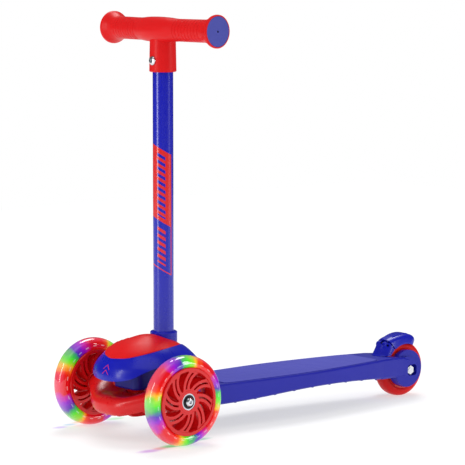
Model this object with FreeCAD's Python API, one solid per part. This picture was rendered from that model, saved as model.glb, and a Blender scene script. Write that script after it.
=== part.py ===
"""Three-wheeled lean-to-steer kick scooter: two lighted front wheels, one braked rear wheel.

Millimetres. +Z up, the front looks along -Y, +X is the rider's left. The origin lies on the
ground, halfway between the foremost and the rearmost point of the wheels.
"""
import math
import os

import FreeCAD
import Part

V = FreeCAD.Vector

# Driving dimensions
front_wheel_r = 60.0
rear_wheel_r = 40.0
wheelbase = 480.0
track = 200.0
handle_z = 541.0
handle_half = 113.0
deck_half = 54.0
pole_r = 13.75
pole_wall = 1.5
front_tyre_w = 24.0
rear_tyre_w = 23.0
brake_half = 17.0
kingpin_tilt = 40.0
arm_sweep = 5.0

# Standard bearings (8 x 22 x 7) and axles
bearing_r = 11.0
bearing_bore_r = 4.0
bearing_w = 7.0
axle_r = 3.95
race_t = 1.7
nut_r = 6.6
nut_t = 5.0
small_screw_r = 2.4

# Clearances and walls
run_fit = 0.05
seal_gap = 0.08
trim_gap = 0.15
pad_seam = 0.6
side_gap = 1.0
wall = 3.0
rib = 2.5

# Positions that follow from them
front_y = -(wheelbase + rear_wheel_r - front_wheel_r) / 2
rear_y = front_y + wheelbase
front_z = front_wheel_r
rear_z = rear_wheel_r
wheel_x = track / 2
pole_y = front_y + 46.5
dome_y = front_y + 19.4
dome_r = wheel_x - front_tyre_w / 2 - 14.7
deck_top = front_z + 2.4
stem_bottom = handle_z - 56.3
collar_r = pole_r + 4.6


# ---------------------------------------------------------------- helpers
def fy(d):
    """A distance behind the front axle as a Y value."""
    return front_y + d


def fz(d):
    """A height above the front axle as a Z value."""
    return front_z + d


def ring_face(points, axis):
    """A closed outline of (along, radius) pairs, revolved about X or Z into a solid."""
    if axis == "x":
        pts = [V(a, 0, r) for a, r in points]
        turn = V(1, 0, 0)
    else:
        pts = [V(r, 0, a) for a, r in points]
        turn = V(0, 0, 1)
    wire = Part.makePolygon(pts + [pts[0]])
    return Part.Face(wire).revolve(V(0, 0, 0), turn, 360)


def moved(shape, x=0.0, y=0.0, z=0.0):
    copy = shape.copy()
    copy.translate(V(x, y, z))
    return copy


def mirrored(shape):
    return shape.mirror(V(0, 0, 0), V(1, 0, 0))


def box(x0, x1, y0, y1, z0, z1):
    return Part.makeBox(x1 - x0, y1 - y0, z1 - z0, V(x0, y0, z0))


def cyl(r, x0, x1, y, z):
    """A cylinder along X."""
    return Part.makeCylinder(r, x1 - x0, V(x0, y, z), V(1, 0, 0))


def post(r, z0, z1, x, y):
    """A cylinder along Z."""
    return Part.makeCylinder(r, z1 - z0, V(x, y, z0), V(0, 0, 1))


def plate_x(points, x0, x1):
    """A closed (y, z) outline extruded along X."""
    pts = [V(x0, y, z) for y, z in points]
    face = Part.Face(Part.makePolygon(pts + [pts[0]]))
    return face.extrude(V(x1 - x0, 0, 0))


def spline_wire(points):
    curve = Part.BSplineCurve()
    curve.interpolate(Points=points, PeriodicFlag=True)
    return Part.Wire(curve.toShape())


def fuse(parts):
    return parts[0].multiFuse(parts[1:]).removeSplitter()


def cut(base, tools):
    return base.cut(Part.makeCompound(tools)) if len(tools) > 1 else base.cut(tools[0])


def solids(shape):
    """Only the solids of a boolean's result, one solid or a compound of several."""
    found = shape.Solids
    return found[0] if len(found) == 1 else Part.makeCompound(found)


def hexagon(r, x0, x1, y, z):
    pts = [(y + r * math.cos(math.radians(a)), z + r * math.sin(math.radians(a)))
           for a in range(30, 390, 60)]
    return plate_x(pts, x0, x1)


nodes = {}


# ---------------------------------------------------------------- bearings
def outer_race(x0):
    """Outer ring with its shoulder for the seals, at x0 to x0 + bearing_w."""
    r0 = bearing_r - race_t
    return ring_face([(x0, r0), (x0 + bearing_w, r0), (x0 + bearing_w, bearing_r),
                      (x0, bearing_r)], "x")


def inner_race(x0):
    r1 = bearing_bore_r + race_t
    return ring_face([(x0, bearing_bore_r), (x0 + bearing_w, bearing_bore_r),
                      (x0 + bearing_w, r1), (x0, r1)], "x")


def seal(x0):
    """Thin rubber seal that turns with the outer ring."""
    r0 = bearing_bore_r + race_t + seal_gap
    r1 = bearing_r - race_t
    return ring_face([(x0, r0), (x0 + 0.8, r0), (x0 + 0.8, r1), (x0, r1)], "x")


# ---------------------------------------------------------------- front wheels
core_r = front_wheel_r - 14.8
core_half = front_tyre_w / 2 + 1.3
hub_half = 12.5
bearing_in = hub_half - 0.5 - bearing_w
hub_r = bearing_r + 4.3
spoke_count = 8
spoke_w = 10.2
groove_w = 2.6
groove_floor = 5.5
rim_t = 4.4
window_round = 1.7
window_slope = 2.6
slope_top = 8.0
slope_low = 1.5
led_count = 24


def spoke_face(width, r_in, r_out, x):
    """One swirled spoke as a flat arc-shaped strip from hub to rim, in the plane at x."""
    stations = [(r_in, 107.0), ((r_in + r_out) / 2, 91.5), (r_out, 69.0)]
    p = [(r * math.cos(math.radians(a)), r * math.sin(math.radians(a))) for r, a in stations]
    (ax, ay), (bx, by), (cx, cy) = p
    d = 2 * (ax * (by - cy) + bx * (cy - ay) + cx * (ay - by))
    a2 = ax * ax + ay * ay
    b2 = bx * bx + by * by
    c2 = cx * cx + cy * cy
    ux = (a2 * (by - cy) + b2 * (cy - ay) + c2 * (ay - by)) / d
    uy = (a2 * (cx - bx) + b2 * (ax - cx) + c2 * (bx - ax)) / d
    radius = math.hypot(ax - ux, ay - uy)
    sides = []
    for grow in (radius - width / 2, radius + width / 2):
        k = grow / radius
        sides.append([V(x, ux + (qx - ux) * k, uy + (qy - uy) * k) for qx, qy in p])
    inner, outer = sides
    edges = [Part.Arc(*inner).toShape(),
             Part.makeLine(inner[2], outer[2]),
             Part.Arc(outer[2], outer[1], outer[0]).toShape(),
             Part.makeLine(outer[0], inner[0])]
    return Part.Face(Part.Wire(edges))


def around(shape, count):
    copies = []
    for i in range(count):
        copy = shape.copy()
        copy.rotate(V(0, 0, 0), V(1, 0, 0), 360.0 * i / count)
        copies.append(copy)
    return copies


def window(shrink):
    """Outline of the opening between two spokes, corners rounded, as a wire in the plane x = 0."""
    edge = [Part.Face(Part.Wire(Part.makeCircle(r, V(0, 0, 0), V(1, 0, 0))))
            for r in (core_r - rim_t, hub_r + 0.5)]
    gaps = edge[0].cut(edge[1])
    bands = around(spoke_face(spoke_w, hub_r - 3, core_r - 1, 0), spoke_count)
    gap = gaps.cut(Part.makeCompound(bands)).Faces[0]
    gap = gap.makeOffset2D(-window_round - shrink)
    return gap.makeOffset2D(window_round).Faces[0].OuterWire


def window_tool():
    """The opening as a cutter: straight at both faces, sloping in to a smaller hole halfway."""
    wide = window(0)
    slim = window(window_slope)
    tools = []
    for s in (-1, 1):
        face = Part.Face(moved(wide, s * slope_top))
        tools.append(face.extrude(V(s * 9, 0, 0)))
        tools.append(Part.makeLoft([moved(wide, s * slope_top), moved(slim, s * slope_low)],
                                   True, True))
    tools.append(Part.Face(moved(slim, -slope_low)).extrude(V(2 * slope_low, 0, 0)))
    return tools


def front_core():
    """Moulded core: rim, hub and eight grooved twin spokes with sloping windows between them."""
    c = core_half
    rim = ring_face([(-c, core_r - 4.6), (-c, core_r - 0.8), (-c + 0.8, core_r),
                     (c - 0.8, core_r), (c, core_r - 0.8), (c, core_r - 4.6),
                     (c - 5, core_r - 5.6), (-c + 5, core_r - 5.6)], "x")
    hub = ring_face([(-hub_half, bearing_r), (-hub_half, hub_r - 0.8), (-hub_half + 0.8, hub_r),
                     (hub_half - 0.8, hub_r), (hub_half, hub_r - 0.8), (hub_half, bearing_r),
                     (bearing_in, bearing_r), (bearing_in, bearing_r - 1.2),
                     (-bearing_in, bearing_r - 1.2), (-bearing_in, bearing_r)], "x")
    plate = ring_face([(-hub_half + 0.4, hub_r - 1), (hub_half - 0.4, hub_r - 1),
                       (hub_half - 0.4, core_r - 2), (-hub_half + 0.4, core_r - 2)], "x")
    cutters = []
    for tool in window_tool():
        cutters += around(tool, spoke_count)
    g0 = hub_r + 2.0
    g1 = core_r - rim_t - 2.5
    for s in (-1, 1):
        groove = spoke_face(groove_w, hub_r - 3, core_r - 1, s * groove_floor).extrude(V(s * 9, 0, 0))
        span = cyl(g1, -20, 20, 0, 0).cut(cyl(g0, -21, 21, 0, 0))
        cutters += around(groove.common(span), spoke_count)
    return solids(fuse([rim, hub, cut(plate, cutters)]))


def front_tyre():
    """Cast clear polyurethane tyre with a slot inside for the light ring."""
    h = front_tyre_w / 2
    r = front_wheel_r
    start = V(-h + 1.5, 0, core_r + run_fit)
    crown = [V(-h + 1.5, 0, core_r + run_fit), V(-h, 0, core_r + 3), V(-h + 0.6, 0, r - 7),
             V(-h + 4.0, 0, r - 2.2), V(0, 0, r), V(h - 4.0, 0, r - 2.2), V(h - 0.6, 0, r - 7),
             V(h, 0, core_r + 3), V(h - 1.5, 0, core_r + run_fit)]
    curve = Part.BSplineCurve()
    curve.interpolate(crown)
    edges = [curve.toShape(), Part.makeLine(crown[-1], start)]
    body = Part.Face(Part.Wire(edges)).revolve(V(0, 0, 0), V(1, 0, 0), 360)
    slot = ring_face([(-3.4, core_r - 1), (3.4, core_r - 1), (3.4, core_r + 6.4),
                      (-3.4, core_r + 6.4)], "x")
    return solids(body.cut(slot))


def led_ring():
    """Flexible strip round the core that carries the light modules."""
    r0 = core_r + run_fit
    strip = ring_face([(-3, r0), (3, r0), (3, r0 + 1.4), (-3, r0 + 1.4)], "x")
    chip = box(-1.6, 1.6, -3.2, 3.2, r0 + 1.0, r0 + 5.2)
    chip = chip.makeFillet(0.8, [e for e in chip.Edges if abs(e.Vertexes[0].Z - e.Vertexes[1].Z) > 3])
    return fuse([strip] + around(chip, led_count))


def front_wheel(name, side):
    out = bearing_in
    wheel = {
        "core": front_core(),
        "tyre": front_tyre(),
        "light_ring": led_ring(),
        "outer_races": Part.makeCompound([outer_race(out), outer_race(-out - bearing_w)]),
        "seals": Part.makeCompound([seal(out + bearing_w - 1.1), seal(out + 0.3),
                                    seal(-out - bearing_w + 0.3), seal(-out - 1.1)]),
        "inner_races": Part.makeCompound([inner_race(out), inner_race(-out - bearing_w)]),
        "magnet_sleeve": ring_face([(-out, bearing_bore_r), (-out, 5.6), (-out + 0.6, 5.6),
                                    (-out + 0.6, 8.2), (out - 0.6, 8.2), (out - 0.6, 5.6),
                                    (out, 5.6), (out, bearing_bore_r)], "x"),
    }
    head = out + bearing_w
    bolt = ring_face([(-hub_half - 24, 0), (head + 4.2, 0), (head + 4.2, 3.2), (head + 3.6, 4.8),
                      (head + 2.2, 5.8), (head, 6.0), (head, axle_r), (-hub_half - 23.4, axle_r),
                      (-hub_half - 24, axle_r - 0.6)], "x")
    socket = hexagon(2.6, head + 1.8, head + 6, 0, 0)
    wheel["axle_bolt"] = solids(bolt.cut(socket))
    for key, shape in wheel.items():
        shape = moved(shape, wheel_x, front_y, front_z)
        nodes["%s_%s" % (name, key)] = shape if side > 0 else mirrored(shape)


# ---------------------------------------------------------------- kingpin axis
tilt = math.radians(kingpin_tilt)
pin_dir = V(0, -math.sin(tilt), math.cos(tilt))
pin_at = V(0, fy(8), fz(-3))
boss_r = 14.0
boss_low = -14.0
boss_high = 12.0
lug_gap = 0.6


def pin_cyl(r, a, b):
    """A cylinder on the inclined steering axis between two stations along it."""
    return Part.makeCylinder(r, b - a, pin_at + pin_dir * a, pin_dir)


# ---------------------------------------------------------------- truck
truck_half = wheel_x - hub_half - side_gap
# x as a share of the half width, then distances from the axle: nose, rear, and heights of the
# bottom, the crease, the scoop and the back edge
truck_rows = [
    (0.00, -56.5, 11.0, -30.5, -3.5, -2.6, -1.0),
    (0.30, -53.0, 12.0, -29.5, -3.6, -1.0, 1.0),
    (0.53, -42.5, 14.0, -25.0, 0.5, 7.0, 11.0),
    (0.75, -29.0, 15.0, -19.5, 6.0, 12.5, 14.5),
    (1.00, -14.5, 14.0, -15.0, 9.5, 14.5, 12.0),
]


def truck_section(row, x):
    share, n, b, low, c, s, t = row
    mid = (low + c) / 2
    pts = [((n + b) / 2, low), (n + 0.28 * (b - n), low + 0.5), (n + 3, low + 6.5), (n, mid + 1),
           (n + 1.8, c - 3), (n + 6, c + 0.6), (n + 0.42 * (b - n), s), (b - 7, t), (b, t - 6),
           (b - 1.5, low + 6)]
    return spline_wire([V(x, fy(y), fz(z)) for y, z in pts])


def truck_row(share):
    """The outline's numbers at any share of the half width, straight between the rows."""
    for a, b in zip(truck_rows, truck_rows[1:]):
        if share <= b[0]:
            k = (share - a[0]) / (b[0] - a[0])
            return [p + k * (q - p) for p, q in zip(a, b)]
    return truck_rows[-1]


def truck_pocket(x0, x1):
    """A moulded-in pocket, open below, between two ribs."""
    wires = []
    for x in (x0, x1):
        n, b, low, c, s, t = truck_row(abs(x) / truck_half)[1:]
        pts = [(n + wall + 1.5, low - 15), (n + wall + 1.5, c - 7), (n + 9, c - wall - 1.5),
               (n + 0.42 * (b - n), s - wall - 1), (b - 9, t - wall - 1.5), (b - wall - 2, t - 10),
               (b - wall - 2, low - 15)]
        wires.append(Part.makePolygon([V(x, fy(y), fz(z)) for y, z in pts + pts[:1]]))
    return Part.makeLoft(wires, True, True)


def truck_shell():
    """Curved front beam: bowl-shaped nose, axle bosses at the ends, inclined pivot in the middle."""
    wires = [truck_section(r, -r[0] * truck_half) for r in reversed(truck_rows[1:])]
    wires += [truck_section(r, r[0] * truck_half) for r in truck_rows]
    outer = Part.makeLoft(wires, True)
    pin_boss = pin_cyl(boss_r, -40, boss_high)
    stops = [rib / 2, 0.26 * truck_half, 0.44 * truck_half, 0.64 * truck_half]
    pockets = []
    for a, b in zip(stops, stops[1:]):
        for s in (-1, 1):
            pocket = truck_pocket(s * (a + rib / 2), s * (b - rib / 2))
            pockets.append(pocket.cut(pin_boss))
    pockets.append(box(-44, 44, fy(-49), fy(30), 0, fz(-26.5)))
    body = cut(outer, pockets)
    nub_len = side_gap + 0.5
    nubs = [cyl(5.5, truck_half - 3, truck_half + nub_len, front_y, front_z),
            cyl(5.5, -truck_half - nub_len, -truck_half + 3, front_y, front_z)]
    posts = [post(4.6, fz(-2), fz(9.0), s * 36, fy(-7)) for s in (-1, 1)]
    body = fuse([body, pin_cyl(boss_r, boss_low, boss_high)] + nubs + posts)
    over = pin_cyl(boss_r + 1.5, boss_high, boss_high + 30)
    under = pin_cyl(boss_r + 3, boss_low - 40, boss_low)
    under = under.fuse(box(-17, 17, fy(13), fy(30), fz(-40), fz(-6)))
    bores = [cyl(axle_r, truck_half - 24.5, truck_half + 5, front_y, front_z),
             cyl(axle_r, -truck_half - 5, -truck_half + 24.5, front_y, front_z),
             pin_cyl(7.0, boss_low - 1, boss_high + 1)]
    bores += [post(2.6, fz(1), fz(12), s * 36, fy(-7)) for s in (-1, 1)]
    return solids(cut(body, bores + [over, under]))


def build_truck():
    nodes["truck_shell"] = truck_shell()
    bush = pin_cyl(7.0, boss_low, boss_low + 8).cut(pin_cyl(4 + run_fit, boss_low - 1, boss_low + 9))
    bush2 = pin_cyl(7.0, boss_high - 8, boss_high).cut(pin_cyl(4 + run_fit, boss_high - 9, boss_high + 1))
    nodes["truck_bushes"] = Part.makeCompound([bush, bush2])
    plugs = [post(2.5, fz(1.1), fz(8.0), s * 36, fy(-7)) for s in (-1, 1)]
    nodes["truck_post_screws"] = Part.makeCompound(plugs)


# ---------------------------------------------------------------- steering head
head_half = 27.0
head_top = fz(33)
head_low = fz(4.8)
lug_t = 5.0


def steering_head():
    """Moulded block that holds the inclined kingpin and the upright pole socket."""
    top = box(-head_half, head_half, fy(-21), fy(64), head_low, head_top)
    verts = [e for e in top.Edges if abs(e.Vertexes[0].Z - e.Vertexes[1].Z) > 10
             and e.Vertexes[0].Y < fy(0)]
    top = top.makeFillet(11.0, verts)
    low = [e for e in top.Edges if abs(e.BoundBox.ZMax - head_low) < 0.01
           and e.BoundBox.YMax < fy(63)]
    top = top.makeFillet(2.5, low)
    back = box(-22, 22, fy(27.5), fy(64), fz(-24), head_low + 2)
    tongue = box(-19, 19, fy(60), fy(96), fz(-14), deck_top - wall - 0.4)
    lug = pin_cyl(boss_r - 0.5, boss_low - lug_gap - lug_t, boss_low - lug_gap)
    arm = box(-13, 13, fy(16), fy(40), fz(-24), fz(-12))
    arm = arm.common(pin_cyl(60, boss_low - lug_gap - lug_t, boss_low - lug_gap))
    body = fuse([top, back, tongue, lug, arm, post(collar_r - 2.6, fz(0), fz(74), 0, pole_y)])
    sweep = pin_cyl(boss_r + 1.2, boss_low - lug_gap, boss_high + lug_gap)
    pocket = box(-16, 16, fy(-12), fy(30), head_low - 1, fz(14))
    pocket = pocket.common(pin_cyl(60, -60, boss_high + lug_gap))
    bore = post(pole_r + run_fit, fz(6), fz(80), 0, pole_y)
    low = boss_low - lug_gap - lug_t
    tools = [sweep, pocket, bore, pin_cyl(4 + run_fit, -30, 30), pin_cyl(7.6, boss_high + 9, 60),
             pin_cyl(8.0, low - 30, low)]
    tools += [post(small_screw_r, fz(-30), fz(10), s * 12, y) for s in (-1, 1) for y in (fy(78), fy(90))]
    return solids(cut(body, tools))


def build_head():
    nodes["steering_head"] = steering_head()
    top = boss_high + 9
    low = boss_low - lug_gap - lug_t
    shaft = fuse([pin_cyl(4.0, low - 8, top + 0.5), pin_cyl(6.8, top, top + 4.5)])
    nodes["kingpin"] = solids(shaft)
    nut = pin_cyl(6.6, low - 6.5, low)
    nodes["kingpin_nut"] = solids(nut.cut(pin_cyl(4.0, low - 9, low + 1)))
    screws = []
    for s in (-1, 1):
        for y in (fy(78), fy(90)):
            shaft = post(small_screw_r, fz(-14), deck_top - 1.4, s * 12, y)
            screws.append(shaft.fuse(post(4.4, fz(-16.6), fz(-14), s * 12, y)).removeSplitter())
    nodes["head_screws"] = Part.makeCompound(screws)


# ---------------------------------------------------------------- cowl
# radius as a share of the cowl's, then height above the front axle
dome_rows = [(0.0, 75.0), (0.16, 74.0), (0.31, 70.6), (0.48, 65.8), (0.62, 60.3), (0.74, 54.2),
             (0.84, 47.2), (0.92, 40.6), (0.975, 34.0), (1.0, 27.0), (0.998, 19.0)]


def dome(grow, floor):
    """The cowl's outer form, offset by grow, as a solid down to floor."""
    pts = []
    for i, (share, h) in enumerate(dome_rows):
        r = share * dome_r
        j = max(i - 1, 0)
        k = min(i + 1, len(dome_rows) - 1)
        dr = (dome_rows[k][0] - dome_rows[j][0]) * dome_r
        dz = dome_rows[k][1] - dome_rows[j][1]
        size = math.hypot(dr, dz)
        nr = -dz / size
        nz = dr / size
        if i == 0:
            nr = 0.0
            nz = 1.0
        pts.append(V(r + nr * grow, 0, fz(h) + nz * grow))
    curve = Part.BSplineCurve()
    curve.interpolate(pts)
    last = pts[-1]
    edges = [curve.toShape(), Part.makeLine(last, V(last.x, 0, floor)),
             Part.makeLine(V(last.x, 0, floor), V(0, 0, floor)),
             Part.makeLine(V(0, 0, floor), pts[0])]
    solid = Part.Face(Part.Wire(edges)).revolve(V(0, 0, 0), V(0, 0, 1), 360)
    return moved(solid, 0, dome_y, 0)


insert_half = 45.0


def teardrop(grow, z0, z1):
    """Plan outline of the red panel: round nose, tail running to a point behind the pole."""
    pts = [(0, -41.5), (0.27, -39.4), (0.56, -33.4), (0.8, -22), (0.95, -8), (1.0, 8), (0.95, 26),
           (0.78, 44), (0.5, 60), (0.22, 74), (0, 82)]
    right = [V((insert_half + grow) * a, fy(20 + (b - 20) * (1 + grow / 60)), z0) for a, b in pts]
    left = [V(-p.x, p.y, z0) for p in reversed(right[1:-1])]
    face = Part.Face(spline_wire(right + left))
    return face.extrude(V(0, 0, z1 - z0))


def arch(floor):
    """Space below the cowl's edge: low at the nose, high over the axle, down to the deck."""
    pts = [(-90, 17), (-62, 18), (-50, 20.5), (-41, 25), (-32, 31), (-22, 36), (-10, 39.5),
           (8, 40.5), (28, 38), (48, 30), (66, 18), (80, 6), (96, 3)]
    curve = Part.BSplineCurve()
    curve.interpolate([V(-200, fy(y), fz(z)) for y, z in pts])
    a = V(-200, fy(pts[0][0]), fz(pts[0][1]))
    b = V(-200, fy(pts[-1][0]), fz(pts[-1][1]))
    c = V(-200, b.y, floor)
    d = V(-200, a.y, floor)
    edges = [curve.toShape(), Part.makeLine(b, c), Part.makeLine(c, d), Part.makeLine(d, a)]
    return Part.Face(Part.Wire(edges)).extrude(V(400, 0, 0))


shell_t = 2.6
panel_t = 2.4
panel_rise = 0.8
gill_step = 0.6


def build_cowl():
    floor = deck_top + 0.02
    outer = dome(0.0, floor)
    hollow = dome(-shell_t - panel_t, floor - 5)
    posts = [post(5, head_top, fz(75), s * 19, fy(-4)) for s in (-1, 1)]
    posts = [p.common(outer) for p in posts]
    shell = fuse([outer.cut(hollow)] + posts)
    shell = shell.cut(arch(floor - 20).cut(box(-24, 24, fy(-14), fy(60), head_top, fz(80))))
    recess = teardrop(trim_gap, fz(20), fz(90)).cut(dome(-panel_t, floor - 5))
    hole = post(collar_r + 0.4, fz(30), fz(90), 0, pole_y)
    nodes["cowl_shell"] = solids(shell.cut(recess).cut(hole))
    panel = teardrop(0, fz(20), fz(90)).common(dome(panel_rise, floor))
    panel = panel.cut(dome(run_fit - panel_t, floor - 5)).cut(hole)
    steps = [(27.5, 48.0), (36.0, 48.0), (45.6, 48.0)]
    for i, (back, r) in enumerate(steps):
        disc = post(r, fz(20), fz(90), 0, fy(back))
        panel = panel.cut(disc.cut(dome(panel_rise - gill_step * (i + 1), floor - 5)))
    nodes["cowl_panel"] = solids(panel)


# ---------------------------------------------------------------- pole and handle
collar_low = fz(60)
collar_top = fz(76.6)
pole_low = fz(8)
pole_top = handle_z - 10


def build_pole():
    c = collar_r
    ring = ring_face([(collar_low, pole_r + run_fit), (collar_low, c), (collar_top - 1.4, c),
                      (collar_top, c - 1.4), (collar_top, pole_r + run_fit)], "z")
    ring = moved(ring, 0, pole_y, 0)
    socket = post(collar_r - 2.6 + run_fit, collar_low - 1, fz(74.1), 0, pole_y)
    nodes["pole_collar"] = solids(ring.cut(socket))
    tube = post(pole_r, pole_low, pole_top, 0, pole_y)
    tube = tube.cut(post(pole_r - pole_wall, pole_low - 1, pole_top + 1, 0, pole_y))
    screw_z = handle_z - 41
    hole = Part.makeCylinder(3.0, 40, V(0, pole_y - 40, screw_z), V(0, 1, 0))
    nodes["pole_tube"] = solids(tube.cut(hole))


stem_r = pole_r + 4.4
grip_waist = 15.0
grip_bulge = 17.0
grip_shoulder = 16.2
flange_r = 22.0
bend_s = 25.0
groove_pitch = 6.0
groove_count = 9
groove_d = 0.55
cap_r = flange_r - 1.9
cap_t = 3.0


def grip_profile():
    """Half handle along its own axis: neck, grooved grip, trumpet flare and end flange."""
    pts = [(bend_s, grip_shoulder), (bend_s + 5, grip_shoulder - 0.5),
           (bend_s + 10, grip_waist + 0.3)]
    start = bend_s + 15
    for i in range(groove_count):
        s = start + i * groove_pitch
        r = grip_waist + 0.02 * i
        pts += [(s, r), (s + 0.7, r - groove_d), (s + 1.7, r - groove_d), (s + 2.4, r)]
    end = handle_half
    pts += [(end - 17, grip_waist + 0.9), (end - 12, grip_waist + 2.6), (end - 8, grip_waist + 4.6),
            (end - 5, flange_r - 0.6), (end - 3, flange_r), (end - 1, flange_r),
            (end, flange_r - 0.9)]
    return pts


def build_handle():
    sweep = math.radians(arm_sweep)
    bend_r = bend_s / math.sin(sweep)
    cy = pole_y - 6.0
    profile = grip_profile()
    arm = ring_face(profile + [(handle_half, 0), (bend_s, 0)], "x")
    cup = ring_face([(handle_half - cap_t, 0), (handle_half - cap_t, cap_r + trim_gap),
                     (handle_half + 1, cap_r + trim_gap), (handle_half + 1, 0)], "x")
    arm = arm.cut(cup).cut(cyl(2.2, handle_half - 22, handle_half, 0, 0))
    rings = []
    for share in (-1, -0.5, 0, 0.5, 1):
        a = share * sweep
        centre = V(bend_r * math.sin(a), cy + bend_r * (1 - math.cos(a)), handle_z)
        r = grip_bulge - (grip_bulge - grip_shoulder) * share * share
        rings.append(Part.Wire(Part.makeCircle(r, centre, V(math.cos(a), math.sin(a), 0))))
    mid = Part.makeLoft(rings, True)
    lift = bend_r * (1 - math.cos(sweep))

    def place(shape):
        copy = moved(shape, -bend_s, 0, 0)
        copy.rotate(V(0, 0, 0), V(0, 0, 1), arm_sweep)
        return moved(copy, bend_s, cy + lift, handle_z)

    left = place(arm)
    stem = ring_face([(stem_bottom, 0), (stem_bottom, stem_r - 1), (stem_bottom + 1, stem_r),
                      (handle_z - 6, stem_r - 0.9), (handle_z - 6, 0)], "z")
    stem = moved(stem, 0, pole_y, 0)
    body = fuse([mid, left, mirrored(left), stem])
    bore = post(pole_r + run_fit, stem_bottom - 1, pole_top + 0.6, 0, pole_y)
    screw_z = handle_z - 41
    seat = Part.makeCylinder(6.4, 10, V(0, pole_y - stem_r - 8.6, screw_z), V(0, 1, 0))
    hole = Part.makeCylinder(3.0, 40, V(0, pole_y - 40, screw_z), V(0, 1, 0))
    nodes["handle_tee"] = solids(cut(body, [bore, seat, hole]))
    cap = ring_face([(handle_half - cap_t, 2.3), (handle_half - cap_t, cap_r),
                     (handle_half - 0.5, cap_r), (handle_half - 0.1, cap_r - 0.4),
                     (handle_half - 0.1, 1.5), (handle_half - 1.2, 1.5), (handle_half - 1.2, 2.3)], "x")
    nodes["end_cap_left"] = place(cap)
    nodes["end_cap_right"] = mirrored(nodes["end_cap_left"])
    pin = ring_face([(handle_half - 20, 0), (handle_half - 20, 2.1), (handle_half - 1.3, 2.1),
                     (handle_half - 1.3, 0)], "x")
    nodes["end_cap_screws"] = Part.makeCompound([place(pin), mirrored(place(pin))])
    y0 = pole_y - stem_r + 1.4
    head = [(0, 0), (0, 6.0), (-1.6, 6.0), (-2.8, 5.0), (-3.4, 3.2), (-3.4, 0)]
    screw = Part.Face(Part.makePolygon([V(0, a, r) for a, r in head + head[:1]]))
    screw = screw.revolve(V(0, 0, 0), V(0, 1, 0), 360)
    screw = screw.fuse(Part.makeCylinder(2.9, 14, V(0, -0.5, 0), V(0, 1, 0))).removeSplitter()
    drive = Part.makeCylinder(2.1, 3, V(0, -5, 0), V(0, 1, 0))
    nodes["stem_screw"] = solids(moved(screw.cut(drive), 0, y0, screw_z))


# ---------------------------------------------------------------- deck
# distance behind the front axle (or, negative, ahead of the rear one), then the half width as a
# share of the widest, and the bottom's height above the floor
deck_rows = [(66, 0.86, 33.5), (104, 0.885, 33.5), (150, 0.93, 34.5), (200, 0.975, 37.2),
             (262, 1.0, 40.2), (-178, 0.95, 40.3), (-138, 0.87, 39.0), (-98, 0.775, 36.6),
             (-62, 0.665, 33.8)]
fork_from = -62
# distance from the rear axle, half width as a share of the deck's, top and bottom from the axle
fork_rows = [(-63, 0.667, 22.4, -6.2), (-40, 0.605, 22.0, -7.0), (-18, 0.545, 20.4, -8.6),
             (-1, 0.512, 17.0, -12.0)]
rear_core_r = rear_wheel_r - 11.0
rear_hub_half = 11.0
fork_half = 27.0
fork_in = rear_tyre_w / 2 + 2.5
fork_disc_r = 27.0
wheel_gap = 4.0


def deck_y(d):
    return fy(d) if d > 0 else rear_y + d


def deck_section(row, inset):
    d, share, low = row
    w = share * deck_half - inset
    y = deck_y(d)
    t = deck_top - inset
    b = front_z - 60 + low if inset == 0 else -20
    c = 3.0
    pts = [(-w + 1.6, t), (-w, t - 2.4), (-w + 0.6, b + c), (-w + c + 1.5, b), (w - c - 1.5, b),
           (w - 0.6, b + c), (w, t - 2.4), (w - 1.6, t)]
    return Part.makePolygon([V(x, y, z) for x, z in pts + pts[:1]])


def deck_loft(inset, rows):
    wires = [deck_section(r, inset) for r in rows]
    return Part.makeLoft(wires, True, False)


def fork_straps():
    """The two straps that run from the deck to round the axle, tapering in towards the rear."""
    wires = []
    for d, share, top, low in fork_rows:
        w = share * deck_half
        t = rear_z + top
        b = rear_z + low
        pts = [(-w + 1.6, t), (-w, t - 2.4), (-w + 0.6, b + 3), (-w + 3, b), (w - 3, b),
               (w - 0.6, b + 3), (w, t - 2.4), (w - 1.6, t)]
        wires.append(Part.makePolygon([V(x, rear_y + d, z) for x, z in pts + pts[:1]]))
    parts = [Part.makeLoft([a, b], True, True) for a, b in zip(wires, wires[1:])]
    outer = fork_rows[-1][1] * deck_half
    parts.append(cyl(0.79 * fork_disc_r, -outer, outer, rear_y - 8.8, rear_z - 1.4))
    return parts


pad_front = 119.0
pad_rear = -70.0
pad_rows = [(0.0, 0.74), (0.02, 0.80), (0.08, 0.835), (0.3, 0.885), (0.45, 0.905), (0.62, 0.87),
            (0.8, 0.775), (0.93, 0.68), (0.985, 0.62), (1.0, 0.52)]
pad_depth = 1.6
pad_rise = 0.7


def pad_solid(grow, z0, z1):
    y0 = fy(pad_front) - grow
    y1 = rear_y + pad_rear + grow
    right = [V(deck_half * w + grow, y0 + (y1 - y0) * s, z0) for s, w in pad_rows]
    left = [V(-p.x, p.y, p.z) for p in reversed(right)]
    return Part.Face(Part.makePolygon(right + left + right[:1])).extrude(V(0, 0, z1 - z0))


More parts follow.
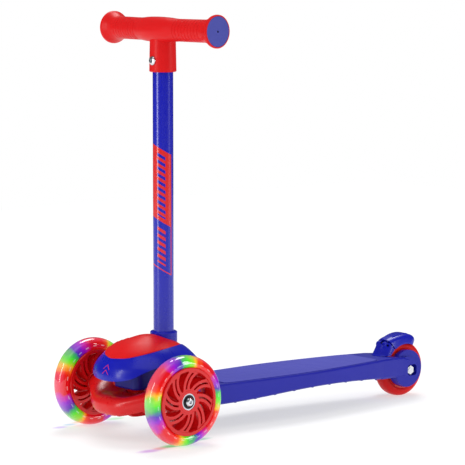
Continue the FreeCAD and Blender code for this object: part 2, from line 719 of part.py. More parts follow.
def deck_board():
    """Moulded deck: smooth top and skirts, ribbed underside, and the fork for the rear wheel."""
    outer = deck_loft(0.0, deck_rows)
    inner = deck_loft(wall, deck_rows)
    y0 = deck_y(deck_rows[0][0]) + wall
    y1 = rear_y + fork_from - 12
    inner = inner.common(box(-200, 200, y0, y1, -30, 200))
    cross = 9
    pitch = (y1 - fy(100)) / cross
    ribs = [box(-100, 100, fy(100) + i * pitch, fy(100) + i * pitch + rib, 0, 100)
            for i in range(cross)]
    ribs += [box(s * 20 - rib / 2, s * 20 + rib / 2, y0 - 5, y1 + 5, 0, 100) for s in (-1, 1)]
    cores = [post(4.6, deck_top - wall - 9, deck_top, s * 12, y) for s in (-1, 1)
             for y in (fy(78), fy(90))]
    hollow = inner.cut(Part.makeCompound(ribs))
    cheeks = []
    for s in (-1, 1):
        a = fork_in if s > 0 else -fork_half + 5
        cheeks.append(cyl(fork_disc_r, a, a + fork_half - 5 - fork_in, rear_y - 2, rear_z + 2))
    seat = rear_hub_half - 0.8
    nubs = [cyl(5.5, seat, fork_in + 1, rear_y, rear_z),
            cyl(5.5, -fork_in - 1, -seat, rear_y, rear_z)]
    body = fuse([outer.cut(hollow)] + fork_straps())
    well = cyl(rear_wheel_r + wheel_gap, -fork_in, fork_in, rear_y, rear_z)
    well = well.fuse(box(-fork_in, fork_in, rear_y, rear_y + 60, rear_z - 44, rear_z + 44))
    body = body.cut(well)
    body = fuse([body] + cheeks + nubs)
    tools = [pad_solid(pad_seam, deck_top - pad_depth, deck_top + 5),
             cyl(axle_r, -60, 60, rear_y, rear_z)]
    for s in (-1, 1):
        a = fork_half - 6 if s > 0 else -fork_half - 1
        slot = box(a, a + 7, rear_y - 7.0, rear_y + 10.4, rear_z - 8.0, rear_z + 8.0)
        edges = [e for e in slot.Edges if abs(e.Vertexes[0].X - e.Vertexes[1].X) > 5]
        tools.append(slot.makeFillet(4.5, edges))
    tools += [post(small_screw_r, fz(-30), deck_top - 1.3, s * 12, y) for s in (-1, 1)
              for y in (fy(78), fy(90))]
    tools += [box(-19.4, 19.4, y0 - 10, fy(96.4), fz(-60), deck_top - wall - 0.2)]
    return solids(cut(body, tools))


# ---------------------------------------------------------------- rear wheel


def build_rear_wheel():
    h = rear_tyre_w / 2
    r = rear_wheel_r
    c = rear_core_r
    crown = [V(-h + 1, 0, c + run_fit), V(-h, 0, c + 2.5), V(-h + 0.3, 0, r - 6), V(-h + 3.2, 0, r - 1.8),
             V(0, 0, r), V(h - 3.2, 0, r - 1.8), V(h - 0.3, 0, r - 6), V(h, 0, c + 2.5),
             V(h - 1, 0, c + run_fit)]
    curve = Part.BSplineCurve()
    curve.interpolate(crown)
    edges = [curve.toShape(), Part.makeLine(crown[-1], crown[0])]
    tyre = Part.Face(Part.Wire(edges)).revolve(V(0, 0, 0), V(1, 0, 0), 360)
    g = rear_hub_half
    half = [(0, c), (g - 0.5, c), (g, c - 0.5), (g, c - 3.0), (g - 1.2, c - 3.4), (g - 1.2, c - 6.0),
            (g - 3.2, c - 6.6), (g - 3.2, 15.6), (g - 0.6, 15.0), (g - 0.6, bearing_r),
            (g - 0.8 - bearing_w, bearing_r), (g - 0.8 - bearing_w, bearing_r - 1.2),
            (0, bearing_r - 1.2)]
    full = half + [(-a, b) for a, b in reversed(half) if a > 0]
    core = ring_face(full, "x")
    seat = g - 0.8 - bearing_w
    rear = {
        "core": core,
        "tyre": tyre,
        "outer_races": Part.makeCompound([outer_race(seat), outer_race(-seat - bearing_w)]),
        "seals": Part.makeCompound([seal(seat + bearing_w - 1.1), seal(-seat - bearing_w + 0.3)]),
        "inner_races": Part.makeCompound([inner_race(seat), inner_race(-seat - bearing_w)]),
        "spacer": ring_face([(-seat, bearing_bore_r), (seat, bearing_bore_r), (seat, 5.6),
                             (-seat, 5.6)], "x"),
    }
    for key, shape in rear.items():
        nodes["rear_wheel_" + key] = moved(shape, 0, rear_y, rear_z)
    x0 = fork_half - 6
    head = hexagon(nut_r, -x0 - nut_t, -x0, rear_y, rear_z)
    shaft = cyl(axle_r, -x0 - 1, x0 + nut_t + 0.6, rear_y, rear_z)
    nodes["rear_axle_bolt"] = solids(shaft.fuse(head).removeSplitter())
    nut = hexagon(nut_r, x0, x0 + nut_t, rear_y, rear_z)
    nodes["rear_axle_nut"] = solids(nut.cut(cyl(axle_r, 0, 60, rear_y, rear_z)))


# ---------------------------------------------------------------- brake
pin_r = 1.8
knuckle_r = 4.4
knuckle_half = 5.6
ear_half = 9.4
brake_y = rear_y - 31.5
brake_z = rear_z + 37.0
skirt_t = 2.3
skirt_in = brake_half - 1.5 - skirt_t
skirt_r = rear_wheel_r - 3.0
channel_r = rear_wheel_r + wheel_gap + 0.4
seam_angle = 125.4
# angle round the rear axle from the horizontal, height of the back from the axle, half width
fender_rows = [(57.5, 9.6, 7.0), (61, 10.6, 11.2), (68, 11.2, 14.2), (78, 11.0, 15.4), (92, 10.4, 15.5),
               (108, 11.0, 15.5), (seam_angle - 1.9, 13.2, 15.2)]


def round_axle(shape, angle):
    """Turns a shape drawn in the plane above the rear axle to an angle from the horizontal."""
    copy = shape.copy()
    copy.rotate(V(0, 0, 0), V(1, 0, 0), angle - 90)
    return moved(copy, 0, rear_y, rear_z)


def arched(points, a0, a1):
    """A closed (x, radius) outline swept round the rear axle from angle a0 to a1."""
    pts = [V(x, 0, r) for x, r in points]
    face = Part.Face(Part.makePolygon(pts + pts[:1]))
    return round_axle(face.revolve(V(0, 0, 0), V(1, 0, 0), a1 - a0), a0)


def saddle(angle, rise, half):
    """Cross-section of the fender's outside: flat sides, rounded shoulders, crowned back."""
    low = rear_wheel_r - 8.0
    top = rear_wheel_r + rise
    side = [(half - 0.2, low + 3), (half, top - 9), (half - 1.2, top - 4.6), (half - 5.0, top - 1.3)]
    pts = [(0, low), (half - 3, low + 0.3)] + side + [(0, top)]
    pts += [(-x, r) for x, r in reversed(pts[1:-1])]
    return round_axle(spline_wire([V(x, 0, r) for x, r in pts]), angle)


def wheel_channel(a0, a1):
    """Room for the wheel under the brake, with sloped upper corners."""
    outline = [(-skirt_in, 20), (-skirt_in, channel_r - 4), (-skirt_in + 4, channel_r),
               (skirt_in - 4, channel_r), (skirt_in, channel_r - 4), (skirt_in, 20)]
    return arched(outline, a0, a1)


def brake_fender():
    """Foot brake: a crowned saddle over the wheel with skirts, a tread pad and a hinge tongue."""
    body = Part.makeLoft([saddle(*row) for row in fender_rows], True)
    body = body.cut(wheel_channel(20, 160)).cut(cyl(skirt_r, -40, 40, rear_y, rear_z))
    top = rear_wheel_r + 8
    pad = arched([(-8.5, top), (8.5, top), (8.5, top + 2.9), (7.5, top + 3.7), (-7.5, top + 3.7),
                  (-8.5, top + 2.9)], 79.5, 112)
    tread = [arched([(-7, top + 3.1), (7, top + 3.1), (7, top + 6), (-7, top + 6)], a, a + 1.4)
             for a in range(83, 110, 4)]
    web = [(-2, 3.9), (6, 6.6), (11.5, 6.6), (11.5, 4.0), (9, 2.2), (3, -3.7)]
    web = [(brake_y + y, brake_z + z) for y, z in web]
    tongues = []
    for x0, x1 in ((2.8, knuckle_half), (-knuckle_half, -2.8)):
        tongues.append(plate_x(web, x0, x1))
        tongues.append(cyl(knuckle_r, x0, x1, brake_y, brake_z))
    body = fuse([body, pad] + tongues)
    return solids(cut(body, tread + [cyl(pin_r + run_fit, -60, 60, brake_y, brake_z)]))


def nose(z, mid, r):
    """Level outline of the brake's foot: a round front centred at mid, and straight sides."""
    a, b, c, d = [V(x, rear_y + y, z) for x, y in ((-r, mid), (r, mid), (r, -14), (-r, -14))]
    front = Part.Arc(a, V(0, rear_y + mid - r, z), b).toShape()
    return Part.Wire([front, Part.makeLine(b, c), Part.makeLine(c, d), Part.makeLine(d, a)])


def brake_base():
    """Foot of the brake: a round-nosed block on the deck, astride the wheel, with ears for the pin."""
    rows = [(deck_top, -31.0, 16.4), (deck_top + 2.0, -29.3, 15.8), (rear_z + 32, -25.1, 15.3),
            (rear_z + 38, -23.2, 14.3), (rear_z + 40.2, -23.0, 13.2)]
    block = Part.makeLoft([nose(*row) for row in rows], True, True)
    ears = [cyl(knuckle_r, s * (ear_half + 6) / 2 - 1.7, s * (ear_half + 6) / 2 + 1.7, brake_y, brake_z)
            for s in (-1, 1)]
    slot_half = knuckle_half + 0.6
    slot = box(-slot_half, slot_half, brake_y - knuckle_r - 0.6, rear_y, brake_z - knuckle_r - 0.8, 120)
    sector = arched([(-40, 20), (40, 20), (40, 70), (-40, 70)], 30, seam_angle)
    under = cyl(skirt_r, -40, 40, rear_y, rear_z)
    body = cut(fuse([block] + ears), [slot, wheel_channel(60, 170), sector, under])
    return solids(body.cut(cyl(pin_r, -60, 60, brake_y, brake_z)))


def brake_spring():
    """Coil round the pin between the tongues, one leg on the base and one towards the fender."""
    turns = [Part.makeTorus(2.7, 0.6, V(-1.65 + 1.1 * i, brake_y, brake_z), V(1, 0, 0)) for i in range(4)]
    leg = Part.makeCylinder(0.6, 4.0, V(-1.65, brake_y + 0.5, brake_z - 2.7), V(0, -1, 0))
    leg2 = Part.makeCylinder(0.6, 2.5, V(1.65, brake_y, brake_z + 2.7), V(0, 0.97, 0.25))
    return solids(fuse(turns + [leg, leg2]))


def build_brake():
    nodes["brake_fender"] = brake_fender()
    nodes["brake_base"] = brake_base()
    nodes["brake_spring"] = brake_spring()
    nodes["brake_pin"] = cyl(pin_r, -10.8, 10.8, brake_y, brake_z)


# ---------------------------------------------------------------- build
front_wheel("left_wheel", 1)
front_wheel("right_wheel", -1)
build_truck()
build_head()
build_cowl()
build_pole()
build_handle()
nodes["deck_board"] = deck_board()
nodes["deck_pad"] = pad_solid(0, deck_top - pad_depth + run_fit, deck_top + pad_rise)
build_rear_wheel()
build_brake()

os.makedirs("parts", exist_ok=True)
for name, shape in nodes.items():
    shape.exportStep("parts/%s.step" % name)
    print(name, len(shape.Solids), shape.isValid(), round(shape.Volume, 1))
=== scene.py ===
import math
import bpy
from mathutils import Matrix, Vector


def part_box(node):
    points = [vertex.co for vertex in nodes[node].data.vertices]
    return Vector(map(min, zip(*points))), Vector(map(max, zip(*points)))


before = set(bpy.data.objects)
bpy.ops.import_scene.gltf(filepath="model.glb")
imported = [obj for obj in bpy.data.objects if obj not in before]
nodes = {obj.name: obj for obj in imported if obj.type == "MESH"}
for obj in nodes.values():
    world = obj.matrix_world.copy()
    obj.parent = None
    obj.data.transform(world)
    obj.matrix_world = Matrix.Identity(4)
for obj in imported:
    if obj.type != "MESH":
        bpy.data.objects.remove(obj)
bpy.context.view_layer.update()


# ------------------------------------------------------------------ deck
# The board is one injection-moulded piece of blue nylon, open and ribbed below, with the fork for
# the rear wheel moulded on. A separate grip pad of the same nylon is pressed into its top.
# Moulded nylon gives a soft broad sheen, with a fine spark-eroded grain left by the mould.
def linear(hex_colour):
    """An sRGB hex colour as the linear values that Blender wants."""
    out = []
    for i in (1, 3, 5):
        c = int(hex_colour[i:i + 2], 16) / 255
        out.append(c / 12.92 if c <= 0.04045 else ((c + 0.055) / 1.055) ** 2.4)
    return out + [1.0]


def add(tree, kind, sockets=None, **options):
    """Adds one node with its options, its socket values and its links."""
    node = tree.nodes.new(kind)
    for name, value in options.items():
        setattr(node, name, value)
    for key, value in (sockets or {}).items():
        if isinstance(value, bpy.types.NodeSocket):
            tree.links.new(value, node.inputs[key])
        else:
            node.inputs[key].default_value = value
    return node


def mix_colours(tree, share, first, second):
    """A colour that goes from the first to the second as the share goes from 0 to 1."""
    node = add(tree, "ShaderNodeMix", {"Factor": share}, data_type="RGBA")
    for key, value in (("A", first), ("B", second)):
        socket = [s for s in node.inputs if s.name == key and s.type == "RGBA"][0]
        if isinstance(value, bpy.types.NodeSocket):
            tree.links.new(value, socket)
        else:
            socket.default_value = value
    return [s for s in node.outputs if s.type == "RGBA"][0]


def new_material(name):
    """An empty material: its node tree, its shader and the Object coordinates."""
    material = bpy.data.materials.new(name)
    material.use_nodes = True
    tree = material.node_tree
    shader = tree.nodes["Principled BSDF"]
    place = add(tree, "ShaderNodeTexCoord").outputs["Object"]
    return material, tree, shader, place


def per_mm(size):
    """A texture scale that repeats about once in this many millimetres."""
    return 1000.0 / size


def moulded(name, colour, shade, rough, grain, depth, coat=0.0, sheen=0.0, specular=0.3):
    """Moulded plastic: flow marks in the colour, grain in the bump, handling in the gloss."""
    material, tree, shader, place = new_material(name)
    flow = add(tree, "ShaderNodeTexNoise", {"Vector": place, "Scale": per_mm(70), "Detail": 3.0})
    tint = mix_colours(tree, flow.outputs["Fac"], linear(colour), linear(shade))
    tree.links.new(tint, shader.inputs["Base Color"])
    rub = add(tree, "ShaderNodeTexNoise", {"Vector": place, "Scale": per_mm(16), "Detail": 5.0,
                                           "Roughness": 0.6})
    gloss = add(tree, "ShaderNodeMapRange", {"Value": rub.outputs["Fac"], "From Min": 0.3,
                                             "From Max": 0.7, "To Min": rough - 0.05,
                                             "To Max": rough + 0.06})
    tree.links.new(gloss.outputs["Result"], shader.inputs["Roughness"])
    pits = add(tree, "ShaderNodeTexNoise", {"Vector": place, "Scale": per_mm(grain), "Detail": 2.0})
    wave = add(tree, "ShaderNodeTexNoise", {"Vector": place, "Scale": per_mm(38), "Detail": 1.0})
    soft = add(tree, "ShaderNodeBump", {"Height": wave.outputs["Fac"], "Strength": 0.12,
                                        "Distance": 0.0008})
    bump = add(tree, "ShaderNodeBump", {"Height": pits.outputs["Fac"], "Strength": depth,
                                        "Distance": 0.00025, "Normal": soft.outputs["Normal"]})
    tree.links.new(bump.outputs["Normal"], shader.inputs["Normal"])
    shader.inputs["IOR"].default_value = 1.5
    shader.inputs["Specular IOR Level"].default_value = specular
    shader.inputs["Coat Weight"].default_value = coat
    shader.inputs["Coat Roughness"].default_value = 0.12
    shader.inputs["Sheen Weight"].default_value = sheen
    shader.inputs["Sheen Roughness"].default_value = 0.5
    return material


def finish_with(material, *names):
    """Gives these CAD nodes one material."""
    for name in names:
        nodes[name].data.materials.clear()
        nodes[name].data.materials.append(material)


deck_nylon = moulded("blue_nylon_spark_grain", "#14189A", "#181CA4", 0.42, 1.4, 0.2)
finish_with(deck_nylon, "deck_board")

# the pad's grain is coarser for grip, with pips 2.5 mm apart
pad_nylon = moulded("blue_nylon_grip_grain", "#1E22AC", "#262AB4", 0.50, 2.5, 0.4, sheen=0.08)
finish_with(pad_nylon, "deck_pad")


# ------------------------------------------------------------------ steering head and truck
# A blue nylon block holds the pole's foot and the inclined kingpin. Below it swings the red ABS
# truck beam, whose bowl-shaped nose shows under the cowl. Nut and screws are bright zinc steel.
# the block's blue is painted a little darker than the deck's, as painted shade from the cowl above it
head_nylon = moulded("blue_nylon_painted_shade", "#14169A", "#101284", 0.45, 1.2, 0.35)
finish_with(head_nylon, "steering_head")

truck_abs = moulded("red_abs_satin", "#D81416", "#CE1014", 0.30, 1.6, 0.12, coat=0.12)
finish_with(truck_abs, "truck_shell")


def bright_metal(name, colour, rough, streak):
    """Plated or ground steel, with faint turning lines whose pitch is the streak, in mm."""
    material, tree, shader, place = new_material(name)
    shader.inputs["Base Color"].default_value = linear(colour)
    shader.inputs["Metallic"].default_value = 1.0
    squeeze = add(tree, "ShaderNodeMapping", {"Vector": place, "Scale": (1.0, 0.08, 0.08)})
    lines = add(tree, "ShaderNodeTexNoise", {"Vector": squeeze.outputs["Vector"],
                                             "Scale": per_mm(streak), "Detail": 3.0})
    gloss = add(tree, "ShaderNodeMapRange", {"Value": lines.outputs["Fac"], "To Min": rough - 0.06,
                                             "To Max": rough + 0.10})
    tree.links.new(gloss.outputs["Result"], shader.inputs["Roughness"])
    bump = add(tree, "ShaderNodeBump", {"Height": lines.outputs["Fac"], "Strength": 0.2,
                                        "Distance": 0.0001})
    tree.links.new(bump.outputs["Normal"], shader.inputs["Normal"])
    return material


zinc = bright_metal("bright_zinc_plate", "#DADCE2", 0.22, 0.8)
finish_with(zinc, "kingpin", "kingpin_nut", "head_screws", "truck_post_screws")

bush_nylon = moulded("natural_nylon_turned", "#DDD8C6", "#D2CCB8", 0.45, 0.8, 0.2)
finish_with(bush_nylon, "truck_bushes")


# ------------------------------------------------------------------ front wheels
# Each core is glossy red ABS with twin swirled spokes. A clear polyurethane tyre is cast round it,
# over a white strip of light modules that a magnet on the axle powers as the wheel turns.
core_abs = moulded("red_abs_gloss", "#DC1418", "#D01014", 0.20, 1.6, 0.12, coat=0.35)
finish_with(core_abs, "left_wheel_core", "right_wheel_core")

strip = moulded("white_light_strip", "#F2F0EC", "#E8E6E2", 0.5, 0.8, 0.1)
finish_with(strip, "left_wheel_light_ring", "right_wheel_light_ring")

# one sequence of modules fills a quarter of the ring: share of the quarter, and the light's colour
light_order = [(0.00, "#4CE61A"), (0.09, "#38B860"), (0.16, "#5030B8"), (0.26, "#9416D0"),
               (0.36, "#CC1CA8"), (0.44, "#E01020"), (0.68, "#E61414"), (0.77, "#F4501A"),
               (0.84, "#FFC02C"), (0.91, "#98E420"), (1.00, "#4CE61A")]


sequences = 4
modules = 24
glint_ring_radius = 0.0505
glint_half_width = 0.00075
glint_share = 0.4
clear_from, tread_radius = 0.0545, 0.0600


def light_tyre(name, axle, turn, phase):
    """Clear polyurethane lit from inside: soft blotches of light, and painted highlights of the
    modules as white dashes.
    """
    material, tree, shader, place = new_material(name)
    centred = add(tree, "ShaderNodeMapping", {"Vector": place,
                                              "Location": (-axle[0], -axle[1], -axle[2])})
    part = add(tree, "ShaderNodeSeparateXYZ", {"Vector": centred.outputs["Vector"]})
    y, z = part.outputs["Y"], part.outputs["Z"]
    angle = add(tree, "ShaderNodeMath", {0: z, 1: y}, operation="ARCTAN2").outputs[0]
    blur = add(tree, "ShaderNodeTexNoise", {"Vector": place, "Scale": per_mm(14), "Detail": 2.0})
    shift = add(tree, "ShaderNodeMath", {0: blur.outputs["Fac"], 1: 0.22, 2: phase - 0.11},
                operation="MULTIPLY_ADD").outputs[0]
    quarters = add(tree, "ShaderNodeMath", {0: angle, 1: turn * sequences / math.tau, 2: shift},
                   operation="MULTIPLY_ADD").outputs[0]
    share = add(tree, "ShaderNodeMath", {0: quarters, 1: 1.0, 2: 0.0}, operation="WRAP").outputs[0]
    ramp = add(tree, "ShaderNodeValToRGB", {"Fac": share})
    stops = ramp.color_ramp.elements
    for i, (where, colour) in enumerate(light_order):
        stop = stops[i] if i < 2 else stops.new(where)
        stop.position = where
        stop.color = linear(colour)

    flat = add(tree, "ShaderNodeCombineXYZ", {"X": 0.0, "Y": y, "Z": z})
    radius = add(tree, "ShaderNodeVectorMath", {0: flat.outputs["Vector"]},
                 operation="LENGTH").outputs["Value"]
    # the light fades towards the tread, where the cast tyre is clear and pale
    rim = add(tree, "ShaderNodeMapRange", {"Value": radius, "From Min": clear_from,
                                           "From Max": tread_radius, "To Min": 0.0,
                                           "To Max": 0.25}).outputs["Result"]
    glow = mix_colours(tree, rim, ramp.outputs["Color"], linear("#C890B8"))

    # painted highlights: the modules' glints, a ring of bright white dashes glowing in the tyre's
    # emission
    beat = add(tree, "ShaderNodeMath", {0: angle, 1: modules / math.tau, 2: 0.25},
               operation="MULTIPLY_ADD").outputs[0]
    beat = add(tree, "ShaderNodeMath", {0: beat, 1: 1.0, 2: 0.0}, operation="WRAP").outputs[0]
    beat = add(tree, "ShaderNodeMath", {0: beat, 1: 0.5, 2: glint_share / 2},
               operation="COMPARE").outputs[0]
    line = add(tree, "ShaderNodeMath", {0: radius, 1: glint_ring_radius, 2: glint_half_width},
               operation="COMPARE").outputs[0]
    dash = add(tree, "ShaderNodeMath", {0: beat, 1: line}, operation="MULTIPLY").outputs[0]
    light = mix_colours(tree, dash, glow, (1.0, 1.0, 1.0, 1.0))
    tree.links.new(glow, shader.inputs["Base Color"])
    tree.links.new(light, shader.inputs["Emission Color"])
    shader.inputs["Emission Strength"].default_value = 0.22
    shader.inputs["Transmission Weight"].default_value = 0.2
    shader.inputs["IOR"].default_value = 1.49
    shader.inputs["Roughness"].default_value = 0.08
    shader.inputs["Coat Weight"].default_value = 0.5
    shader.inputs["Coat Roughness"].default_value = 0.05
    ripple = add(tree, "ShaderNodeTexNoise", {"Vector": place, "Scale": per_mm(9), "Detail": 1.0})
    bump = add(tree, "ShaderNodeBump", {"Height": ripple.outputs["Fac"], "Strength": 0.15,
                                        "Distance": 0.0008})
    tree.links.new(bump.outputs["Normal"], shader.inputs["Normal"])
    return material


for side, turn, phase in (("left", 1, 0.0), ("right", -1, 0.55)):
    low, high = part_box(side + "_wheel_tyre")
    axle = [(a + b) / 2 for a, b in zip(low, high)]
    finish_with(light_tyre("clear_polyurethane_" + side, axle, turn, phase), side + "_wheel_tyre")

race = bright_metal("ground_bearing_steel", "#C6CAD2", 0.14, 0.6)
finish_with(race, "left_wheel_outer_races", "right_wheel_outer_races", "left_wheel_inner_races",
            "right_wheel_inner_races")
seal_rubber = moulded("black_nitrile_rubber", "#14161C", "#1C1E26", 0.5, 0.9, 0.3)
finish_with(seal_rubber, "left_wheel_seals", "right_wheel_seals")
ferrite = moulded("dark_ferrite", "#24242A", "#2C2C30", 0.55, 0.7, 0.4)
finish_with(ferrite, "left_wheel_magnet_sleeve", "right_wheel_magnet_sleeve")
finish_with(zinc, "left_wheel_axle_bolt", "right_wheel_axle_bolt")


# ------------------------------------------------------------------ cowl
# The steering cowl is a thin blue ABS dome screwed to the block, with a red ABS panel snapped into
# its top. Two small printed chevrons, a plain ornament, sit on its nose.


chevron_tip = (0.0015, 0.1000)
chevron_half = 0.0062
chevron_slope = 0.9
chevron_pitch = 0.0065
chevron_stroke = 0.0012
nose_from = -0.26


def printed_cowl(name):
    """The cowl's gloss blue, with two thin red chevrons, one above the other, on its front."""
    material = moulded(name, "#0812B0", "#0610A4", 0.30, 1.8, 0.06, coat=0.12)
    tree = material.node_tree
    shader = tree.nodes["Principled BSDF"]
    place = add(tree, "ShaderNodeTexCoord").outputs["Object"]
    part = add(tree, "ShaderNodeSeparateXYZ", {"Vector": place})
    tip_x, tip_z = chevron_tip
    aside = add(tree, "ShaderNodeMath", {0: part.outputs["X"], 1: tip_x}, operation="SUBTRACT")
    reach = add(tree, "ShaderNodeMath", {0: aside.outputs[0]}, operation="ABSOLUTE").outputs[0]
    drop = add(tree, "ShaderNodeMath", {0: reach, 1: chevron_slope, 2: part.outputs["Z"]},
               operation="MULTIPLY_ADD").outputs[0]
    inside = add(tree, "ShaderNodeMath", {0: reach, 1: chevron_half},
                 operation="LESS_THAN").outputs[0]
    front = add(tree, "ShaderNodeMath", {0: part.outputs["Y"], 1: nose_from},
                operation="LESS_THAN").outputs[0]
    where = add(tree, "ShaderNodeMath", {0: inside, 1: front}, operation="MULTIPLY").outputs[0]
    strokes = [add(tree, "ShaderNodeMath", {0: drop, 1: tip_z - i * chevron_pitch,
                                            2: chevron_stroke / 2},
                   operation="COMPARE").outputs[0] for i in (0, 1)]
    either = add(tree, "ShaderNodeMath", {0: strokes[0], 1: strokes[1]},
                 operation="MAXIMUM").outputs[0]
    mask = add(tree, "ShaderNodeMath", {0: either, 1: where}, operation="MULTIPLY").outputs[0]
    plain = shader.inputs["Base Color"].links[0].from_socket
    tint = mix_colours(tree, mask, plain, linear("#D02A4C"))
    tree.links.new(tint, shader.inputs["Base Color"])
    return material


finish_with(printed_cowl("blue_abs_gloss_printed"), "cowl_shell")
panel_abs = moulded("red_abs_panel", "#D81416", "#D01014", 0.38, 1.8, 0.05, specular=0.12)
finish_with(panel_abs, "cowl_panel")

# ------------------------------------------------------------------ pole
# The pole is powder-coated aluminium tube in a blue ABS collar. Powder coat lies a little uneven,
# so its highlights break up slightly. A vinyl wrap round the front carries a plain bar pattern.
collar_abs = moulded("blue_abs_gloss", "#0812B0", "#0610A4", 0.30, 1.8, 0.06, coat=0.12)
finish_with(collar_abs, "pole_collar")

powder_blue, powder_red = "#060EAC", "#D8181A"
# levels are heights measured along the wrap's slant
slant_aside, slant_back = 0.387, 0.467
red_field = (0.2840, 0.3812)
outline = (0.2190, 0.2840)
outline_side, outline_foot = 0.0014, 0.0016
wrap_back = 0.225
bar_pitch = 0.009
bar_column = (-0.0076, 0.0034)
dark_bar_levels = (0.2900, 0.3740)
red_bar_levels = (0.2270, 0.2790)
# the bars run down the wrap where it faces left and forward, at this angle from the side
facing = math.radians(50.36)


def wrapped_pole(name, low, high):
    """Powder coat with the printed wrap: a slanted red field, an outlined one below, and bars."""
    material, tree, shader, place = new_material(name)
    centre = ((low[0] + high[0]) / 2, (low[1] + high[1]) / 2)
    radius = (high[0] - low[0]) / 2
    part = add(tree, "ShaderNodeSeparateXYZ", {"Vector": place})
    x = add(tree, "ShaderNodeMath", {0: part.outputs["X"], 1: centre[0]},
            operation="SUBTRACT").outputs[0]
    y = add(tree, "ShaderNodeMath", {0: part.outputs["Y"], 1: centre[1]},
            operation="SUBTRACT").outputs[0]
    # the wrap is cut on a slant that falls towards the left and rear of the scooter
    slant_x = add(tree, "ShaderNodeMath", {0: x, 1: slant_aside, 2: part.outputs["Z"]},
                  operation="MULTIPLY_ADD").outputs[0]
    level = add(tree, "ShaderNodeMath", {0: y, 1: slant_back, 2: slant_x},
                operation="MULTIPLY_ADD").outputs[0]

    def band(value, a, b):
        """1 where the value lies between a and b."""
        return add(tree, "ShaderNodeMath", {0: value, 1: (a + b) / 2, 2: (b - a) / 2},
                   operation="COMPARE").outputs[0]

    def both(a, b):
        return add(tree, "ShaderNodeMath", {0: a, 1: b}, operation="MULTIPLY").outputs[0]

    def either(a, b):
        return add(tree, "ShaderNodeMath", {0: a, 1: b}, operation="MAXIMUM").outputs[0]

    edge = wrap_back * radius
    front = band(y, -2 * radius, edge)
    red = both(front, band(level, *red_field))
    frame_side = both(band(y, edge - outline_side, edge), band(level, *outline))
    frame_foot = both(front, band(level, outline[0], outline[0] + outline_foot))
    red = either(red, either(frame_side, frame_foot))
    turned = add(tree, "ShaderNodeMath", {0: x, 1: math.cos(facing)},
                 operation="MULTIPLY").outputs[0]
    across = add(tree, "ShaderNodeMath", {0: y, 1: math.sin(facing), 2: turned},
                 operation="MULTIPLY_ADD").outputs[0]
    column = both(front, band(across, *bar_column))
    step = add(tree, "ShaderNodeMath", {0: level, 1: 1 / bar_pitch, 2: 0.25},
               operation="MULTIPLY_ADD").outputs[0]
    step = add(tree, "ShaderNodeMath", {0: step, 1: 1.0, 2: 0.0}, operation="WRAP").outputs[0]
    bars = both(column, band(step, 0.25, 0.75))
    dark_bars = both(bars, band(level, *dark_bar_levels))
    red_bars = both(bars, band(level, *red_bar_levels))
    clear = add(tree, "ShaderNodeMath", {0: red, 1: dark_bars}, operation="SUBTRACT").outputs[0]
    print_mask = add(tree, "ShaderNodeMath", {0: clear, 1: red_bars}, operation="ADD",
                     use_clamp=True).outputs[0]
    tint = mix_colours(tree, print_mask, linear(powder_blue), linear(powder_red))
    tree.links.new(tint, shader.inputs["Base Color"])
    peel = add(tree, "ShaderNodeTexNoise", {"Vector": place, "Scale": per_mm(6.0), "Detail": 1.0})
    bump = add(tree, "ShaderNodeBump", {"Height": peel.outputs["Fac"], "Strength": 0.04,
                                        "Distance": 0.0001})
    tree.links.new(bump.outputs["Normal"], shader.inputs["Normal"])
    gloss = add(tree, "ShaderNodeMapRange", {"Value": peel.outputs["Fac"], "To Min": 0.20,
                                             "To Max": 0.32})
    tree.links.new(gloss.outputs["Result"], shader.inputs["Roughness"])
    shader.inputs["Specular IOR Level"].default_value = 0.5
    shader.inputs["Coat Weight"].default_value = 0.25
    shader.inputs["Coat Roughness"].default_value = 0.08
    return material


finish_with(wrapped_pole("powder_coat_with_wrap", *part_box("pole_tube")), "pole_tube")


# ------------------------------------------------------------------ handle
# The T handle is one piece of red soft-touch polypropylene over the pole, held by a screw in front.
# Flat blue plugs close its flared ends, each with a small sunk black screw.
grip = moulded("red_soft_polypropylene", "#DC1416", "#D01014", 0.36, 1.8, 0.10, specular=0.16)
finish_with(grip, "handle_tee")
plug = moulded("blue_polypropylene_plug", "#3A409C", "#4046A6", 0.5, 1.1, 0.15)
finish_with(plug, "end_cap_left", "end_cap_right")
black_oxide = bright_metal("black_oxide_steel", "#101012", 0.4, 0.6)
finish_with(black_oxide, "end_cap_screws")
finish_with(zinc, "stem_screw")


# ------------------------------------------------------------------ rear wheel
# The rear wheel is a red ABS core with a solid red polyurethane tyre cast on, on two bearings.
# Its bright hexagon bolt and nut sit in slots in the fork.
rear_tyre = moulded("red_polyurethane", "#D81A1A", "#CC1416", 0.34, 2.0, 0.15, specular=0.14)
finish_with(rear_tyre, "rear_wheel_tyre")
finish_with(core_abs, "rear_wheel_core")
finish_with(race, "rear_wheel_outer_races", "rear_wheel_inner_races")
finish_with(seal_rubber, "rear_wheel_seals")
finish_with(zinc, "rear_wheel_spacer", "rear_axle_bolt", "rear_axle_nut")


# ------------------------------------------------------------------ brake
# A blue nylon fender presses on the rear tyre. It turns on a blackened steel pin in a base on the
# deck, and a wire spring round the pin lifts it again.
brake_nylon = moulded("blue_nylon_gloss", "#0E16B0", "#0A12A4", 0.30, 1.8, 0.08, coat=0.12)
finish_with(brake_nylon, "brake_fender", "brake_base")
finish_with(black_oxide, "brake_spring", "brake_pin")


# ------------------------------------------------------------------ floor, light and camera
# A plain white light table with pools of the tyres' coloured light painted into it, a soft sun from
# behind that lays the shadow towards the front right, and two tall strips whose reflections run down
# the pole.
bpy.ops.object.select_all(action="DESELECT")
bpy.ops.mesh.primitive_plane_add(size=5)
floor = bpy.context.object
floor.name = "floor"
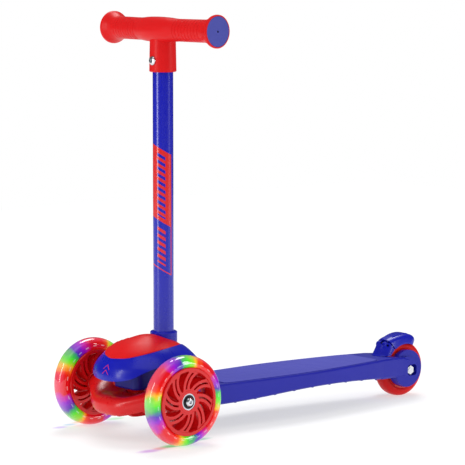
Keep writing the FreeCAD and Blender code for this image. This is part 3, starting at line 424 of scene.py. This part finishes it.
# pools of the lit tyres' colours are painted into the floor beside the wheels: centre in metres,
# half length along the scooter, half width, how much of the white they take away, and colour
painted_light_pools = [((0.1000, -0.2860), 0.020, 0.010, 0.55, "#C050E0"),
          ((0.0950, -0.2640), 0.012, 0.009, 0.50, "#F06060"),
          ((0.0920, -0.2450), 0.016, 0.010, 0.70, "#20C840"),
          ((0.0840, -0.2130), 0.014, 0.008, 0.50, "#F0A030"),
          ((0.0790, -0.1900), 0.024, 0.009, 0.60, "#20C8A0"),
          ((-0.1080, -0.2780), 0.014, 0.008, 0.45, "#A060F0"),
          ((-0.1160, -0.2560), 0.012, 0.008, 0.45, "#50B8F0"),
          ((-0.1220, -0.2330), 0.014, 0.008, 0.60, "#F0B040"),
          ((-0.1200, -0.2050), 0.012, 0.008, 0.55, "#A040F0"),
          ((-0.1120, -0.1830), 0.018, 0.009, 0.50, "#70E080")]


def light_table(name, grey, brightness):
    """White acrylic lit from below, with painted tints where the tyres' light would fall on it."""
    material, tree, shader, place = new_material(name)
    glow = (1.0, 1.0, 1.0, 1.0)
    # painted light: each pool mixes a tyre's colour into the floor's own colour and glow
    for (x, y), long, wide, depth, colour in painted_light_pools:
        near = add(tree, "ShaderNodeMapping", {"Vector": place,
                                               "Location": (-x / wide, -y / long, 0.0),
                                               "Scale": (1 / wide, 1 / long, 1.0)})
        away = add(tree, "ShaderNodeVectorMath", {0: near.outputs["Vector"]}, operation="LENGTH")
        share = add(tree, "ShaderNodeMapRange", {"Value": away.outputs["Value"], "From Min": 0.2,
                                                 "From Max": 1.3, "To Min": depth, "To Max": 0.0},
                    interpolation_type="SMOOTHSTEP")
        glow = mix_colours(tree, share.outputs["Result"], glow, linear(colour))
    dimmed = add(tree, "ShaderNodeVectorMath", {0: glow, 1: linear(grey)[:3]},
                 operation="MULTIPLY")
    tree.links.new(dimmed.outputs["Vector"], shader.inputs["Base Color"])
    tree.links.new(glow, shader.inputs["Emission Color"])
    shader.inputs["Emission Strength"].default_value = brightness
    shader.inputs["Roughness"].default_value = 0.9
    shader.inputs["Specular IOR Level"].default_value = 0.1
    return material


floor.data.materials.append(light_table("backlit_opal_acrylic", "#B4B4B4", 0.55))

world = bpy.data.worlds.new("white_room")
bpy.context.scene.world = world
world.use_nodes = True
room = world.node_tree
sky = room.nodes["Background"]
ray = add(room, "ShaderNodeLightPath")
# the room is white to look at and lights evenly, but the set behind the camera is kept dark, so
# plastics show the lamps in their gloss rather than a milky veil
seen = add(room, "ShaderNodeMath", {0: ray.outputs["Is Camera Ray"], 1: 0.40, 2: 0.60},
           operation="MULTIPLY_ADD").outputs[0]
power = add(room, "ShaderNodeMath", {0: ray.outputs["Is Glossy Ray"], 1: -0.52, 2: seen},
            operation="MULTIPLY_ADD").outputs[0]
room.links.new(power, sky.inputs["Strength"])
sky.inputs["Color"].default_value = (1, 1, 1, 1)

aim = Vector((0.0, -0.05, 0.2))


def soft_light(name, where, width, height, power):
    """An area light at a place, turned to the middle of the scooter."""
    bpy.ops.object.light_add(type="AREA", location=where)
    lamp = bpy.context.object
    lamp.name = name
    lamp.data.shape = "RECTANGLE"
    lamp.data.size = width
    lamp.data.size_y = height
    lamp.data.energy = power
    lamp.rotation_euler = (aim - lamp.location).to_track_quat("-Z", "Y").to_euler()
    return lamp


bpy.ops.object.light_add(type="SUN", location=(-1.0, 0.9, 2.0))
sun = bpy.context.object
sun.name = "key"
sun.data.energy = 1.5
sun.data.angle = math.radians(28)
sun.rotation_euler = Vector((1.0, -0.9, -2.0)).to_track_quat("-Z", "Y").to_euler()
soft_light("strip_front", (-0.35, -2.0, 0.6), 0.30, 1.6, 14)
soft_light("strip_side", (1.75, 1.05, 0.6), 0.25, 1.6, 12)
soft_light("overhead", (0.5, -0.7, 2.2), 1.6, 1.2, 6)

azimuth, height, distance = math.radians(50.367), math.radians(6.483), 3.56508
target = Vector((0.011609, -0.072796, 0.262361))
eye = Vector((math.sin(azimuth) * math.cos(height), -math.cos(azimuth) * math.cos(height),
              math.sin(height)))
bpy.ops.object.camera_add(location=target + eye * distance)
camera = bpy.context.object
camera.rotation_euler = (-eye).to_track_quat("-Z", "Y").to_euler()
camera.data.sensor_width = 36.0
camera.data.lens = 36.0 * 2613.79 / 465
bpy.context.scene.camera = camera
bpy.context.scene.view_settings.view_transform = "Standard"
